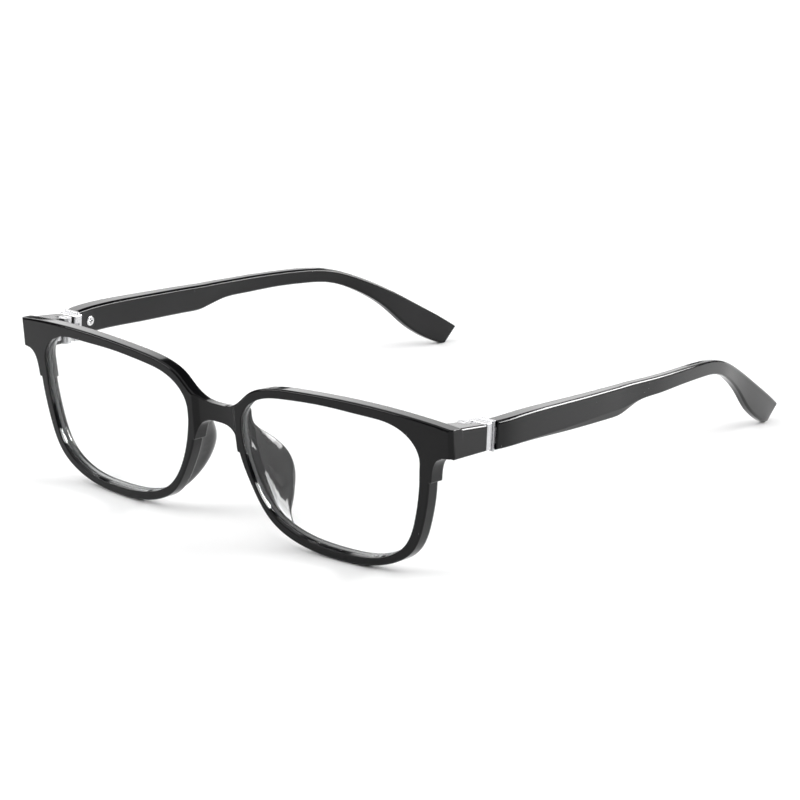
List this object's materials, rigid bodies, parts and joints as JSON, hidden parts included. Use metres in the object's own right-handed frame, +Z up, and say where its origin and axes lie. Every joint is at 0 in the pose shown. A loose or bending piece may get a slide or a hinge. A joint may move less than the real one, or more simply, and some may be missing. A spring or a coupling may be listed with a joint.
{
  "type": "eyeglasses frame",
  "caption": "Full-rim rectangular spectacles in glossy black plastic with clear lenses, moulded nose pads and metal spring hinges.",
  "frame": {"origin": "on the table under the middle of the open glasses: the bottom centre of their bounding box", "axes": "+X across the front towards the wearer's left temple, +Y from the front back along the temples, +Z up"},
  "size_m": [0.1394, 0.1562, 0.0407],
  "materials": {
    "frame_plastic": "polished black",
    "temple_plastic": "polished black",
    "lens_clear": "clear, colourless",
    "cap_metal": "satin silver",
    "hinge_steel": "machined",
    "screw_steel": "turned, bright",
    "spring_wire": "drawn wire"
  },
  "bodies": {
    "front_frame": {"front": "frame_plastic", "lens_left": "lens_clear", "lens_right": "lens_clear", "front_leaf_left": "hinge_steel", "front_leaf_right": "hinge_steel", "leaf_screw_left": "screw_steel", "leaf_screw_right": "screw_steel", "hinge_screw_left": "screw_steel", "hinge_screw_right": "screw_steel"},
    "slider_left": {"spring_slider_left": "hinge_steel", "spring_stop_left": "hinge_steel", "coil_spring_left": "spring_wire"},
    "arm_left": {"temple_left": "temple_plastic", "hinge_cap_left": "cap_metal", "cap_screw_left": "screw_steel"},
    "slider_right": {"spring_slider_right": "hinge_steel", "spring_stop_right": "hinge_steel", "coil_spring_right": "spring_wire"},
    "arm_right": {"temple_right": "temple_plastic", "hinge_cap_right": "cap_metal", "cap_screw_right": "screw_steel"}
  },
  "joints": [
    {"name": "fold_left", "type": "hinge", "parent": "front_frame", "child": "slider_left", "pos_m": [0.0633, -0.06296, 0.03406], "axis": [0, 0.061, 0.9981], "range_deg": [0, 88]},
    {"name": "spring_slide_left", "type": "slide", "parent": "slider_left", "child": "arm_left", "axis": [0, 0.9981, -0.061], "range_m": [0, 0.001], "stiffness_N_per_m": 4700, "springref_m": -0.0004, "deforming": ["coil_spring_left"]},
    {"name": "fold_right", "type": "hinge", "parent": "front_frame", "child": "slider_right", "pos_m": [-0.0633, -0.06296, 0.03406], "axis": [0, -0.061, -0.9981], "range_deg": [0, 82]},
    {"name": "spring_slide_right", "type": "slide", "parent": "slider_right", "child": "arm_right", "axis": [0, 0.9981, -0.061], "range_m": [0, 0.001], "stiffness_N_per_m": 4700, "springref_m": -0.0004, "deforming": ["coil_spring_right"]}
  ]
}
